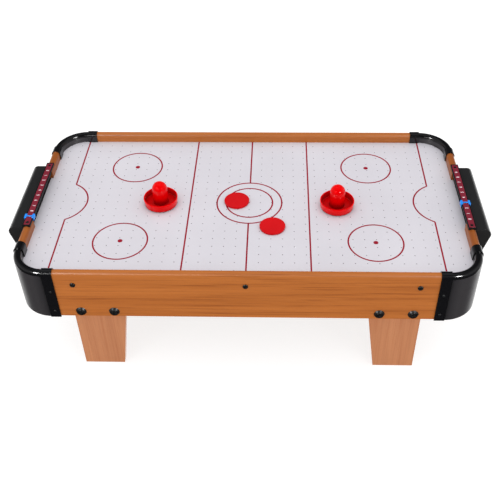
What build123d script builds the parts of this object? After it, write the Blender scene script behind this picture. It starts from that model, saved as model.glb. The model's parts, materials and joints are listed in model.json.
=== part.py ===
from build123d import *
import math
import os

# Tabletop air hockey table, millimetres.  Origin on the floor at the centre of the
# table, +X along the table towards the right goal, +Y to the far side, +Z up.

# Overall sizes
BODY_LENGTH = 860.0
BODY_WIDTH = 462.0
BOARD = 15.0
FIELD_Z = 240.0
RAIL_HEIGHT = 20.0
APRON_BOTTOM = 151.0
CORNER_RADIUS = 66.0
FIT = 0.15
PAST = 1.0

# Heights and planes that follow from them
RAIL_Z = FIELD_Z + RAIL_HEIGHT
NOSE = BOARD / 2
NOSE_Z = RAIL_Z - NOSE
HALF_L = BODY_LENGTH / 2
HALF_W = BODY_WIDTH / 2
INNER_L = HALF_L - BOARD
INNER_W = HALF_W - BOARD
CORNER_X = HALF_L - CORNER_RADIUS
CORNER_Y = HALF_W - CORNER_RADIUS

# Corner mouldings
SHELL = 3.0
FLANGE_SKIN = 2.0
FLANGE_WIDTH = 18.0
WEB = 1.5
CORNER_BOTTOM = APRON_BOTTOM - 2.0
FLANGE_MIDDLE_X = CORNER_X - FLANGE_WIDTH / 2
FLANGE_MIDDLE_Y = CORNER_Y - FLANGE_WIDTH / 2

# Screws: shank radius, length, head radius and head height
APRON_SCREW = (1.75, 26.0, 5.0, 2.2)
CORNER_SCREW = (1.5, 13.0, 2.6, 1.5)
BAR_SCREW = (1.5, 16.0, 2.8, 1.2)
BOX_SCREW = (1.5, 24.0, 3.6, 1.8)
PANEL_SCREW = (1.5, 14.0, 3.2, 1.8)
DUCT_SCREW = (1.5, 5.0, 3.0, 1.6)
SCREW_BORE = 1.5 + FIT
BIG_BORE = 1.75 + FIT
PILOT = 12.5
CROSS_WIDTH = 0.9
HEAD_CROWN = 0.6
HEAD_ROOM = 4.2
APRON_SCREW_XS = (-312.0, 0.0, 312.0)
APRON_SCREW_Z = 231.0
CORNER_SCREW_HEIGHTS = (214.0, 165.0)
PANEL_SCREW_XS = (-310.0, -105.0, 105.0, 310.0)
PANEL_SCREW_YS = (-120.0, 120.0)

# Playfield, plenum and air holes
SHEET = 3.0
HOLE_PITCH = 22.2
HOLE_RADIUS = 0.9
HOLE_COLUMNS = 18
HOLE_ROWS = 9
FIELD_CORNER = 45.0
FIELD_TONGUE = 5.0
BATTEN_HEIGHT = 29.0
BATTEN_TOP = FIELD_Z - SHEET
BATTEN_BOTTOM = BATTEN_TOP - BATTEN_HEIGHT
BATTEN_END = 400.0
PANEL_BOTTOM = BATTEN_BOTTOM - SHEET
PANEL_X = 412.0
PANEL_Y = 213.0
PANEL_CORNER = 60.0

# Goals
NOTCH_HALF = 80.0
NOTCH_FILL = NOTCH_HALF - 0.5
BOX_HALF = 100.0
BOX_WALL = 2.2
BOX_TOP = FIELD_Z + 16.0
BOX_OUT = 460.5
BOX_EDGE_Z = FIELD_Z + 2.0
BOX_ROUND = 12.0
BOX_WAIST_ROUND = 8.0
BOX_BOTTOM = FIELD_Z - 58.5
BOX_FOOT = 444.5
SILL_X = 420.3
SILL_TOP = FIELD_Z - 0.8
SILL_DEPTH = 12.0
SILL_BACK = 2.0
OUTLET_HALF = 32.0
OUTLET_INSET = 8.0
OUTLET_LOW = 191.0
OUTLET_HIGH = 215.0
BOSS_Y = 90.0
BOSS_HEIGHTS = (197.0, 226.0)
BOSS_RADIUS = 4.0
BOSS_LENGTH = 12.0
RIB_HALF = 0.8

# Score bars
BAR_X = HALF_L - NOSE
BAR_HALF = 103.0
BAR_TOP = RAIL_Z + 2.5
BAR_FLANGE = 4.0
BAR_WEB_HALF = 5.5
BAR_BOTTOM = FIELD_Z + 12.0
SADDLE = 3.0
STRIP_HALF = 100.0
STRIP_HALF_WIDTH = 5.8
STRIP = 1.0
STRIP_GAP = 0.1
STRIP_HOLE = 3.2
NUMBER_PITCH = 16.7
NUMBERS = 10
BAR_SCREW_Y = 93.0
BAR_PILOT_LOW = 244.0
LEFT_SCORE = 9
RIGHT_SCORE = 3
SLIDER_LENGTH = 12.5
SLIDER_GAP = 0.3
SLIDER_WALL = 1.6
SLIDER_BRIDGE = 2.8
SLIDER_UNDER = BAR_TOP + 0.5
SLIDER_TOP = BAR_TOP + 1.6
SLIDER_ROUND = 0.7
LOBE_IN = STRIP_HALF_WIDTH - 0.6
HOOK_REACH = 0.9
HOOK = 1.3

# Legs
LEG_OUTER = 326.0
LEG_TOP_WIDTH = 99.0
LEG_FOOT_WIDTH = 78.0
LEG_HEIGHT = 200.0
BOLT_Z = 163.0
BOLT_XS = (307.0, 245.0)
BOLT_RADIUS = 3.0
BOLT_BORE = BOLT_RADIUS + FIT
BOLT_LENGTH = 2 * BOARD + 9.0
BOLT_HEAD_RADIUS = 6.0
BOLT_HEAD = 2.4
BOLT_CROWN = 1.2
SOCKET_RADIUS = 3.2
SOCKET_FLOOR = 1.8
WASHER_RADIUS = 10.0
WASHER_SLOPE = 2.2
WASHER_HEIGHT = 3.2
WASHER_FLOOR = 1.0
WASHER_GAP = 0.5
NUT_RADIUS = 5.8
NUT_HEIGHT = 5.0

# Loose pieces
AIR_GAP = 0.3
PUCK_RADIUS = 25.0
PUCK_HEIGHT = 4.0
PUCK_CHAMFER = 0.5
PUCK_1 = (-25.3, 3.2)
PUCK_2 = (47.0, -75.8)
LEFT_PUSHER = (-177.5, -2.7)
RIGHT_PUSHER = (174.5, -10.2)
PUSHER_RADIUS = 34.0
PUSHER_FOOT = 31.6
FOOT_ROUND = 1.4
DISH_RADIUS = 30.6
DISH_ROUND = 1.5
PUSHER_RIM = 16.2
PUSHER_HEIGHT = 50.8
PUSHER_WALL = 2.4
KNOB_RADIUS = 15.0
FELT = 0.8
FELT_INSET = 1.0

# Fan
FAN_BORE = 44.0
FAN_WALL = 2.4
FAN_DEPTH = 36.0
FAN_FLANGE = 58.0
FAN_SCREW = 51.0
FAN_LOW = PANEL_BOTTOM - FAN_DEPTH
CRADLE_RISE = 3.0
CRADLE_TOP = FAN_LOW + 2 * CRADLE_RISE
SPOKES = 3
SPOKE_HALF = 1.5
SPOKE_TURN = 30.0
GRILLE = 2.0
GRILLE_LOW = FAN_LOW - GRILLE
GRILLE_RINGS = (36.0, 29.0, 22.0)
GRILLE_BAND = 2.2
GRILLE_RIBS = 6
MOTOR_RADIUS = 14.0
MOTOR_LENGTH = 20.0
MOTOR_ROUND = 1.5
MOTOR_NOSE = 4.0
MOTOR_NOSE_HEIGHT = 1.5
SHAFT_RADIUS = 1.5
SHAFT_LENGTH = 24.0
SHAFT_GAP = 0.05
SHAFT_BORE_LOW = FAN_LOW + 6.0
SHAFT_LOW = FAN_LOW + 7.0
WHEEL_LOW = FAN_LOW + MOTOR_LENGTH + 3.0
HUB_RADIUS = 15.0
HUB_HEIGHT = 10.0
HUB_WALL = 2.0
HUB_ROUND = 2.0
HUB_SLEEVE = 4.0
BLADES = 7
BLADE_TIP = 41.0
BLADE_ROOT = HUB_RADIUS - 1.2
BLADE_CHORD = 15.0
BLADE = 1.4
BLADE_ROUND = 4.0
BLADE_PITCH = 32.0

# Switch, inlet and leads
POWER_Z = 180.0
SWITCH_X = 80.0
SWITCH_FLANGE = (11.0, 8.0)
SWITCH_CASE = (9.5, 6.5)
SWITCH_WELL = (7.5, 5.0)
SWITCH_RIM = 1.5
SWITCH_BACK = INNER_W - 4.0
WELL_DEPTH = 9.0
TAB_IN = 4.2
TAB_OUT = 5.0
TAB_HALF = 2.0
TAB_LENGTH = 6.0
ROCKER_HALF = 6.6
ROCKER_RISE = 0.6
ROCKER_DIP = 0.7
ROCKER_HEEL = (5.4, 4.0)
ROCKER_DEPTH = 6.0
ROCKER_HEIGHT = 9.2
ROCKER_TILT = 9.0
ROCKER_Y = HALF_W + 1.6
INLET_X = 120.0
INLET_RADIUS = 5.5
INLET_RIM = 7.2
INLET_RIM_HEIGHT = 1.6
INLET_BACK = INNER_W - 6.0
JACK_RADIUS = 2.85
JACK_DEPTH = 10.0
PIN_RADIUS = 1.0
INLET_NUT = 8.0
INLET_NUT_HEIGHT = 3.0
LEAD_RADIUS = 2.0
LEAD_BEND = 12.0
LEAD_TURN_Y = INNER_W - 30.0
LEAD_DROP_Y = 180.0
LEAD_END_X = SWITCH_X + 7.5
LEAD_BENDS = ((74.0, 150.0, 0.0), (55.0, 100.0, 0.0), (38.0, 62.0, 8.0), (26.0, 41.5, 14.0))


def block(x0, x1, y0, y1, z0, z1):
    """A box between six planes."""
    box = Box(abs(x1 - x0), abs(y1 - y0), abs(z1 - z0))
    return Pos((x0 + x1) / 2, (y0 + y1) / 2, (z0 + z1) / 2) * box


def rod(radius, start, direction, length):
    """A round bar from start, along direction."""
    plane = Plane(origin=start, z_dir=direction)
    return plane * Pos(0, 0, length / 2) * Cylinder(radius, length)


def bore(radius, start, direction, depth):
    """A round cutter of a given depth, begun a little outside the face it opens."""
    way = Vector(*direction)
    return rod(radius, Vector(*start) - way * PAST, way, depth + PAST)


def ring(outer, inner, z0, z1):
    """A tube about the Z axis."""
    tube = Cylinder(outer, z1 - z0) - Cylinder(inner, 2 * (z1 - z0))
    return Pos(0, 0, (z0 + z1) / 2) * tube


def turn(centre, radius, start, end):
    """An arc about centre between two angles in degrees."""
    angles = [math.radians(angle) for angle in (start, (start + end) / 2, end)]
    points = [(centre[0] + radius * math.cos(a), centre[1] + radius * math.sin(a)) for a in angles]
    return ThreePointArc(*points)


def flip_x(part):
    return mirror(part, about=Plane.YZ)


def flip_y(part):
    return mirror(part, about=Plane.XZ)


def four_ways(part):
    """The part and its copies at the other three corners."""
    return [part, flip_x(part), flip_y(part), flip_x(flip_y(part))]


def group(solids):
    """Separate solids kept together in one file."""
    return Compound(children=[s for part in solids for s in part.solids()])


def save(name, part):
    solids = part.solids()
    if len(solids) == 1:
        export_step(solids[0], "parts/" + name + ".step")
    else:
        export_step(Compound(children=list(solids)), "parts/" + name + ".step")


# Rail sections.  u runs inwards from the outer face of a board, v is the height.


def arch_face(outer, inner, foot_out, foot_in):
    """A board section with a full bullnose, from u = outer to u = inner."""
    middle = (outer + inner) / 2
    crown = NOSE_Z + (inner - outer) / 2
    lines = [
        Line((outer, foot_out), (outer, NOSE_Z)),
        ThreePointArc((outer, NOSE_Z), (middle, crown), (inner, NOSE_Z)),
        Line((inner, NOSE_Z), (inner, foot_in)),
        Line((inner, foot_in), (outer, foot_out)),
    ]
    return make_face(Curve() + lines)


def board_section():
    return arch_face(0, BOARD, APRON_BOTTOM, APRON_BOTTOM)


def shell_section(outside, inside, foot):
    """An upside-down U: its long leg outside the board, its short leg down to the field."""
    whole = arch_face(-outside, BOARD + outside, foot, foot)
    hollow = arch_face(inside, BOARD - inside, foot - 1, foot - 1)
    below = Pos(BOARD, (foot + FIELD_Z) / 2) * Rectangle(2 * BOARD - 2 * NOSE, FIELD_Z - foot)
    return whole - hollow - below


def front_plane(x):
    return Plane(origin=(x, -HALF_W, 0), x_dir=(0, 1, 0), z_dir=(1, 0, 0))


def end_plane(y):
    return Plane(origin=(HALF_L, y, 0), x_dir=(-1, 0, 0), z_dir=(0, 1, 0))


# Boards


def bolt_points():
    return [(side * x, BOLT_Z) for side in (-1, 1) for x in BOLT_XS]


def front_board():
    board = extrude(front_plane(-CORNER_X) * board_section(), amount=2 * CORNER_X)
    inwards = (0, 1, 0)
    for x in APRON_SCREW_XS:
        board -= bore(BIG_BORE, (x, -HALF_W, APRON_SCREW_Z), inwards, BOARD + PAST)
    for x, z in bolt_points():
        board -= bore(BOLT_BORE, (x, -HALF_W, z), inwards, BOARD + PAST)
    for side in (-1, 1):
        for z in CORNER_SCREW_HEIGHTS:
            board -= bore(SCREW_BORE, (side * FLANGE_MIDDLE_X, -HALF_W, z), inwards, PILOT)
    return board


def back_board():
    board = flip_y(front_board())
    width, height = SWITCH_CASE
    width += FIT
    height += FIT
    board -= block(SWITCH_X - width, SWITCH_X + width, INNER_W - PAST, HALF_W + PAST,
                   POWER_Z - height, POWER_Z + height)
    inlet = (INLET_X, INNER_W, POWER_Z)
    return board - bore(INLET_RADIUS + FIT, inlet, (0, 1, 0), BOARD + PAST)


def end_board():
    board = extrude(end_plane(-CORNER_Y) * board_section(), amount=2 * CORNER_Y)
    board -= block(INNER_L - PAST, HALF_L + PAST, -NOTCH_HALF, NOTCH_HALF, BATTEN_TOP, RAIL_Z + PAST)
    pilot = RAIL_Z + PAST - BAR_PILOT_LOW
    for side in (-1, 1):
        board -= rod(SCREW_BORE, (BAR_X, side * BAR_SCREW_Y, BAR_PILOT_LOW), (0, 0, 1), pilot)
        for z in CORNER_SCREW_HEIGHTS:
            board -= bore(SCREW_BORE, (HALF_L, side * FLANGE_MIDDLE_Y, z), (-1, 0, 0), PILOT)
        for z in BOSS_HEIGHTS:
            board -= bore(BIG_BORE, (INNER_L, side * BOSS_Y, z), (1, 0, 0), BOARD + PAST)
    return board


def corner_moulding():
    """The front right corner: a curved wall between two flanges that lap the boards."""
    wall_section = shell_section(0, SHELL, CORNER_BOTTOM)
    skin_section = shell_section(FLANGE_SKIN, 0, CORNER_BOTTOM)
    web_section = shell_section(FLANGE_SKIN, SHELL, CORNER_BOTTOM)
    axis = Axis((CORNER_X, -CORNER_Y, 0), (0, 0, 1))
    wall = revolve(front_plane(CORNER_X) * wall_section, axis, 90)
    start = CORNER_X - FLANGE_WIDTH
    front = extrude(front_plane(start) * skin_section, amount=FLANGE_WIDTH)
    front += extrude(front_plane(CORNER_X) * web_section, amount=WEB)
    end_start = -CORNER_Y - WEB
    side = extrude(end_plane(end_start) * web_section, amount=WEB)
    side += extrude(end_plane(-CORNER_Y) * skin_section, amount=FLANGE_WIDTH)
    moulding = wall + front + side
    depth = FLANGE_SKIN + PAST
    for z in CORNER_SCREW_HEIGHTS:
        face = (FLANGE_MIDDLE_X, -HALF_W - FLANGE_SKIN, z)
        moulding -= bore(SCREW_BORE, face, (0, 1, 0), depth)
        face = (HALF_L + FLANGE_SKIN, -FLANGE_MIDDLE_Y, z)
        moulding -= bore(SCREW_BORE, face, (-1, 0, 0), depth)
    return moulding


def leg():
    """The front left leg, a board that tapers on its inner edge."""
    outer = -LEG_OUTER
    inner_top = outer + LEG_TOP_WIDTH
    inner_foot = outer + LEG_FOOT_WIDTH
    points = [
        (outer, 0),
        (inner_foot, 0),
        (inner_top, APRON_BOTTOM),
        (inner_top, LEG_HEIGHT),
        (outer, LEG_HEIGHT),
    ]
    face = Plane(origin=(0, -INNER_W + BOARD, 0), x_dir=(1, 0, 0), z_dir=(0, -1, 0))
    board = extrude(face * make_face(Polyline(points, close=True)), amount=BOARD)
    for x in BOLT_XS:
        board -= bore(BOLT_BORE, (-x, -INNER_W, BOLT_Z), (0, 1, 0), BOARD + PAST)
    return board


# Field and plenum


def playfield():
    outline = RectangleRounded(2 * INNER_L, 2 * INNER_W, FIELD_CORNER)
    for side in (-1, 1):
        tongue = Rectangle(2 * FIELD_TONGUE, 2 * NOTCH_FILL)
        outline += Pos(side * INNER_L, 0) * tongue
    places = []
    for column in range(-HOLE_COLUMNS, HOLE_COLUMNS + 1):
        for row in range(-HOLE_ROWS, HOLE_ROWS + 1):
            places.append((column * HOLE_PITCH, row * HOLE_PITCH))
    rings = [Wire.make_circle(HOLE_RADIUS, Plane(origin=(x, y, 0))) for x, y in places]
    edge = outline.face().outer_wire()
    sheet = Face(edge, rings)
    return extrude(Pos(0, 0, BATTEN_TOP) * sheet, amount=SHEET)


def long_batten():
    y0 = -INNER_W
    bar = block(-BATTEN_END, BATTEN_END, y0, y0 + BOARD, BATTEN_BOTTOM, BATTEN_TOP)
    for x in APRON_SCREW_XS:
        bar -= bore(BIG_BORE, (x, y0, APRON_SCREW_Z), (0, 1, 0), PILOT)
    for x in PANEL_SCREW_XS:
        bar -= bore(SCREW_BORE, (x, y0 + NOSE, BATTEN_BOTTOM), (0, 0, 1), PILOT)
    return bar


def end_batten():
    y1 = INNER_W - BOARD
    bar = block(BATTEN_END, INNER_L, -y1, y1, BATTEN_BOTTOM, BATTEN_TOP)
    for y in PANEL_SCREW_YS:
        bar -= bore(SCREW_BORE, (INNER_L - NOSE, y, BATTEN_BOTTOM), (0, 0, 1), PILOT)
    for side in (-1, 1):
        for z in BOSS_HEIGHTS:
            bar -= bore(HEAD_ROOM, (BATTEN_END, side * BOSS_Y, z), (1, 0, 0), BOARD + PAST)
    return bar


def panel_screw_places():
    """Centres of the screws that hold the bottom panel to the battens."""
    edge_y = INNER_W - NOSE
    edge_x = INNER_L - NOSE
    places = [(x, side * edge_y) for x in PANEL_SCREW_XS for side in (-1, 1)]
    places += [(side * edge_x, y) for y in PANEL_SCREW_YS for side in (-1, 1)]
    return places


def bottom_panel():
    outline = RectangleRounded(2 * PANEL_X, 2 * PANEL_Y, PANEL_CORNER)
    outline -= Circle(FAN_BORE)
    panel = extrude(Pos(0, 0, PANEL_BOTTOM) * outline, amount=SHEET)
    for x, y in panel_screw_places() + fan_screw_places():
        panel -= bore(SCREW_BORE, (x, y, PANEL_BOTTOM), (0, 0, 1), SHEET + PAST)
    return panel


# Goals


def box_outline(inset):
    """Section of the goal box in X and Z, drawn inset from its outer skin."""
    top = BOX_TOP - inset
    foot = BOX_BOTTOM + inset
    out = BOX_OUT - inset
    heel = BOX_FOOT - inset
    points = [(HALF_L, foot), (heel, foot), (out, BOX_EDGE_Z), (out, top), (HALF_L, top)]
    face = make_face(Polyline(points, close=True))
    shoulder = face.vertices().sort_by_distance((out, top))[0]
    face = fillet(shoulder, BOX_ROUND - inset)
    waist = face.vertices().sort_by_distance((out, BOX_EDGE_Z))[0]
    return fillet(waist, BOX_WAIST_ROUND)


def box_plane(y):
    return Plane(origin=(0, y, 0), x_dir=(1, 0, 0), z_dir=(0, -1, 0))


def goal_box():
    """The right catch box: a shell, open to the table and closed on top."""
    inner_half = BOX_HALF - BOX_WALL
    box = extrude(box_plane(BOX_HALF) * box_outline(0), amount=2 * BOX_HALF)
    box -= extrude(box_plane(inner_half) * box_outline(BOX_WALL), amount=2 * inner_half)
    box += block(HALF_L, HALF_L + SILL_BACK, -BOX_HALF, BOX_HALF, SILL_TOP - SILL_DEPTH, SILL_TOP)
    box += block(SILL_X, HALF_L, -NOTCH_FILL, NOTCH_FILL, BATTEN_TOP, SILL_TOP)
    root = HALF_L + BOSS_LENGTH
    for side in (-1, 1):
        for z in BOSS_HEIGHTS:
            boss = (HALF_L, side * BOSS_Y, z)
            box += rod(BOSS_RADIUS, boss, (1, 0, 0), BOSS_LENGTH)
            box += block(HALF_L, root, side * BOSS_Y, side * inner_half, z - RIB_HALF, z + RIB_HALF)
            box -= bore(BOX_SCREW[0], boss, (1, 0, 0), BOSS_LENGTH - PAST)
    return box - block(HALF_L + OUTLET_INSET, BOX_OUT, -OUTLET_HALF, OUTLET_HALF, OUTLET_LOW, OUTLET_HIGH)


def score_bar():
    """The bridge over the right goal, with a saddle at each end that sits on the rail."""
    flange_z = BAR_TOP - BAR_FLANGE
    web = (BAR_X - BAR_WEB_HALF, BAR_X + BAR_WEB_HALF)
    bar = block(BAR_X - NOSE, BAR_X + NOSE, -BAR_HALF, BAR_HALF, flange_z, BAR_TOP)
    bar += block(*web, -NOTCH_FILL, NOTCH_FILL, BAR_BOTTOM, flange_z)
    bar += block(*web, -BAR_HALF, BAR_HALF, RAIL_Z - SADDLE, flange_z)
    reach = BAR_HALF + PAST - NOTCH_FILL
    for side in (-1, 1):
        bar -= rod(NOSE, (BAR_X, side * NOTCH_FILL, NOSE_Z), (0, side, 0), reach)
        bar -= rod(SCREW_BORE, (BAR_X, side * BAR_SCREW_Y, NOSE_Z), (0, 0, 1), 2 * NOSE)
    pocket = (BAR_X - STRIP_HALF_WIDTH, BAR_X + STRIP_HALF_WIDTH)
    return bar - block(*pocket, -STRIP_HALF, STRIP_HALF, BAR_TOP - STRIP, BAR_TOP + PAST)


def score_strip():
    half_width = STRIP_HALF_WIDTH - STRIP_GAP
    half = STRIP_HALF - STRIP_GAP
    strip = block(BAR_X - half_width, BAR_X + half_width, -half, half, BAR_TOP - STRIP, BAR_TOP)
    for side in (-1, 1):
        hole = (BAR_X, side * BAR_SCREW_Y, BAR_TOP - STRIP)
        strip -= bore(STRIP_HOLE, hole, (0, 0, 1), STRIP + PAST)
    return strip


def number_y(side, number):
    """Y of a score: 0 is at the near end on the right bar (side 1), at the far end on the left."""
    return side * NUMBER_PITCH * (number - (NUMBERS - 1) / 2)


def score_slider(y):
    """A clip that hooks under both edges of the right bar, with a narrow bridge on top."""
    inner = NOSE + SLIDER_GAP
    outer = inner + SLIDER_WALL
    hook_in = NOSE - HOOK_REACH
    low = BAR_TOP - BAR_FLANGE - SLIDER_GAP - HOOK
    y0 = y - SLIDER_LENGTH / 2
    y1 = y + SLIDER_LENGTH / 2
    bridge = (y - SLIDER_BRIDGE / 2, y + SLIDER_BRIDGE / 2)
    clip = block(BAR_X - outer, BAR_X + outer, *bridge, SLIDER_UNDER, SLIDER_TOP)
    for side in (-1, 1):
        edge = BAR_X + side * outer
        clip += block(BAR_X + side * inner, edge, y0, y1, low, SLIDER_TOP)
        clip += block(BAR_X + side * hook_in, edge, y0, y1, low, low + HOOK)
        clip += block(BAR_X + side * LOBE_IN, edge, y0, y1, SLIDER_UNDER, SLIDER_TOP)
    corners = clip.edges().filter_by(Axis.Z).group_by(SortBy.LENGTH)[-1]
    return fillet(corners, SLIDER_ROUND)


# Fasteners


def screw(radius, length, head_radius, head):
    """A pan-head screw along +Z with the underside of its head at Z = 0."""
    shank = Pos(0, 0, -length / 2) * Cylinder(radius, length)
    cap = Pos(0, 0, head / 2) * Cylinder(head_radius, head)
    cap = fillet(cap.edges().sort_by(Axis.Z)[-1], head * HEAD_CROWN)
    cross = Box(head_radius, CROSS_WIDTH, head) + Box(CROSS_WIDTH, head_radius, head)
    slot = Pos(0, 0, head) * cross
    return shank + cap - slot


def placed(part, origin, direction):
    return Plane(origin=origin, z_dir=direction) * part


def apron_screws():
    made = screw(*APRON_SCREW)
    near = [placed(made, (x, -HALF_W, APRON_SCREW_Z), (0, -1, 0)) for x in APRON_SCREW_XS]
    return group(near + [flip_y(s) for s in near])


def corner_screws():
    made = screw(*CORNER_SCREW)
    face_y = -HALF_W - FLANGE_SKIN
    face_x = HALF_L + FLANGE_SKIN
    screws = []
    for z in CORNER_SCREW_HEIGHTS:
        near = placed(made, (FLANGE_MIDDLE_X, face_y, z), (0, -1, 0))
        end = placed(made, (face_x, -FLANGE_MIDDLE_Y, z), (1, 0, 0))
        screws += four_ways(near) + four_ways(end)
    return group(screws)


def score_bar_screws():
    made = screw(*BAR_SCREW)
    z = BAR_TOP - STRIP
    right = [placed(made, (BAR_X, side * BAR_SCREW_Y, z), (0, 0, 1)) for side in (-1, 1)]
    return group(right + [flip_x(s) for s in right])


def goal_box_screws():
    made = screw(*BOX_SCREW)
    screws = []
    for z in BOSS_HEIGHTS:
        screws += four_ways(placed(made, (INNER_L, BOSS_Y, z), (-1, 0, 0)))
    return group(screws)


def bottom_panel_screws():
    made = screw(*PANEL_SCREW)
    places = [(x, y, PANEL_BOTTOM) for x, y in panel_screw_places()]
    return group([placed(made, place, (0, 0, -1)) for place in places])


def leg_washer():
    """A cupped washer with a recess for the bolt head, facing -Y."""
    top = WASHER_RADIUS - WASHER_SLOPE
    cup = Pos(0, 0, WASHER_HEIGHT / 2) * Cone(WASHER_RADIUS, top, WASHER_HEIGHT)
    cup -= rod(BOLT_HEAD_RADIUS + WASHER_GAP, (0, 0, WASHER_FLOOR), (0, 0, 1), WASHER_HEIGHT)
    return cup - Cylinder(BOLT_BORE, 4 * WASHER_HEIGHT)


def leg_bolt():
    """A button-head bolt with a hex socket, head up, seated on the floor of the washer."""
    head = Pos(0, 0, WASHER_FLOOR + BOLT_HEAD / 2) * Cylinder(BOLT_HEAD_RADIUS, BOLT_HEAD)
    head = fillet(head.edges().sort_by(Axis.Z)[-1], BOLT_CROWN)
    socket = Pos(0, 0, SOCKET_FLOOR) * extrude(RegularPolygon(SOCKET_RADIUS, 6), amount=BOLT_HEAD)
    shank = Pos(0, 0, WASHER_FLOOR - BOLT_LENGTH / 2) * Cylinder(BOLT_RADIUS, BOLT_LENGTH)
    return head - socket + shank


def leg_nut():
    nut = extrude(RegularPolygon(NUT_RADIUS, 6), amount=NUT_HEIGHT)
    return nut - Cylinder(BOLT_BORE, 4 * NUT_HEIGHT)


def leg_hardware(part, y, direction):
    made = [placed(part, (x, y, z), (0, direction, 0)) for x, z in bolt_points()]
    return group(made + [flip_y(s) for s in made])


# Loose pieces


def pusher(centre):
    """A dished ring with a hollow domed knob, turned about its own axis."""
    inner = KNOB_RADIUS - PUSHER_WALL
    side = PUSHER_FOOT + FOOT_ROUND
    floor = FELT + PUSHER_WALL
    lip = PUSHER_WALL / 2
    lip_z = PUSHER_RIM - lip
    dome = PUSHER_HEIGHT - KNOB_RADIUS
    outline = [
        Line((inner, FELT), (PUSHER_FOOT, FELT)),
        turn((PUSHER_FOOT, FELT + FOOT_ROUND), FOOT_ROUND, -90, 0),
        Line((side, FELT + FOOT_ROUND), (PUSHER_RADIUS, lip_z)),
        turn((PUSHER_RADIUS - lip, lip_z), lip, 0, 180),
        Line((PUSHER_RADIUS - PUSHER_WALL, lip_z), (DISH_RADIUS, floor + DISH_ROUND)),
        turn((DISH_RADIUS - DISH_ROUND, floor + DISH_ROUND), DISH_ROUND, 0, -90),
        Line((DISH_RADIUS - DISH_ROUND, floor), (KNOB_RADIUS + DISH_ROUND, floor)),
        turn((KNOB_RADIUS + DISH_ROUND, floor + DISH_ROUND), DISH_ROUND, -90, -180),
        Line((KNOB_RADIUS, floor + DISH_ROUND), (KNOB_RADIUS, dome)),
        turn((0, dome), KNOB_RADIUS, 0, 90),
        Line((0, PUSHER_HEIGHT), (0, dome + inner)),
        turn((0, dome), inner, 90, 0),
        Line((inner, dome), (inner, FELT)),
    ]
    body = revolve(Plane.XZ * make_face(Curve() + outline), Axis.Z, 360)
    return Pos(centre[0], centre[1], FIELD_Z + AIR_GAP) * body


def pusher_felt(centre):
    felt = ring(PUSHER_FOOT - FELT_INSET, KNOB_RADIUS + FELT_INSET, 0, FELT)
    return Pos(centre[0], centre[1], FIELD_Z + AIR_GAP) * felt


def puck(centre):
    disc = Cylinder(PUCK_RADIUS, PUCK_HEIGHT)
    disc = chamfer(disc.edges(), PUCK_CHAMFER)
    return Pos(centre[0], centre[1], FIELD_Z + AIR_GAP + PUCK_HEIGHT / 2) * disc


# Fan


def fan_screw_places():
    """Centres of the four screws of the duct flange, on its diagonals."""
    reach = FAN_SCREW * math.sqrt(0.5)
    return [(x, y) for x in (-reach, reach) for y in (-reach, reach)]


def fan_housing():
    """A round duct under the panel, with a flange and three spokes that hold the motor."""
    duct = ring(FAN_BORE + FAN_WALL, FAN_BORE, FAN_LOW, PANEL_BOTTOM)
    duct += ring(FAN_FLANGE, FAN_BORE, PANEL_BOTTOM - FAN_WALL, PANEL_BOTTOM)
    duct += ring(MOTOR_RADIUS + FAN_WALL, MOTOR_RADIUS + FIT, FAN_LOW, CRADLE_TOP)
    span = (MOTOR_RADIUS + FAN_WALL / 2, FAN_BORE + FAN_WALL / 2)
    for k in range(SPOKES):
        spoke = block(*span, -SPOKE_HALF, SPOKE_HALF, FAN_LOW + CRADLE_RISE, CRADLE_TOP)
        duct += Rot(0, 0, 360 / SPOKES * k + SPOKE_TURN) * spoke
    for x, y in fan_screw_places():
        duct -= rod(SCREW_BORE, (x, y, PANEL_BOTTOM - 2 * FAN_WALL), (0, 0, 1), 3 * FAN_WALL)
    return duct


def fan_grille():
    """Rings and ribs that close the intake under the fan."""
    grille = ring(FAN_BORE + FAN_WALL, FAN_BORE - GRILLE_BAND, GRILLE_LOW, FAN_LOW)
    for radius in GRILLE_RINGS:
        grille += ring(radius, radius - GRILLE_BAND, GRILLE_LOW, FAN_LOW)
    grille += rod(MOTOR_RADIUS + FAN_WALL, (0, 0, GRILLE_LOW), (0, 0, 1), GRILLE)
    for k in range(GRILLE_RIBS):
        rib = block(MOTOR_RADIUS, FAN_BORE, -GRILLE_BAND / 2, GRILLE_BAND / 2, GRILLE_LOW, FAN_LOW)
        grille += Rot(0, 0, 360 / GRILLE_RIBS * k) * rib
    return grille


def fan_motor():
    can = rod(MOTOR_RADIUS, (0, 0, FAN_LOW), (0, 0, 1), MOTOR_LENGTH)
    can = fillet(can.edges().sort_by(Axis.Z)[-1], MOTOR_ROUND)
    can += rod(MOTOR_NOSE, (0, 0, FAN_LOW + MOTOR_LENGTH - PAST), (0, 0, 1), PAST + MOTOR_NOSE_HEIGHT)
    return can - rod(SHAFT_RADIUS + SHAFT_GAP, (0, 0, SHAFT_BORE_LOW), (0, 0, 1), MOTOR_LENGTH)


def motor_shaft():
    return rod(SHAFT_RADIUS, (0, 0, SHAFT_LOW), (0, 0, 1), SHAFT_LENGTH)


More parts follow.
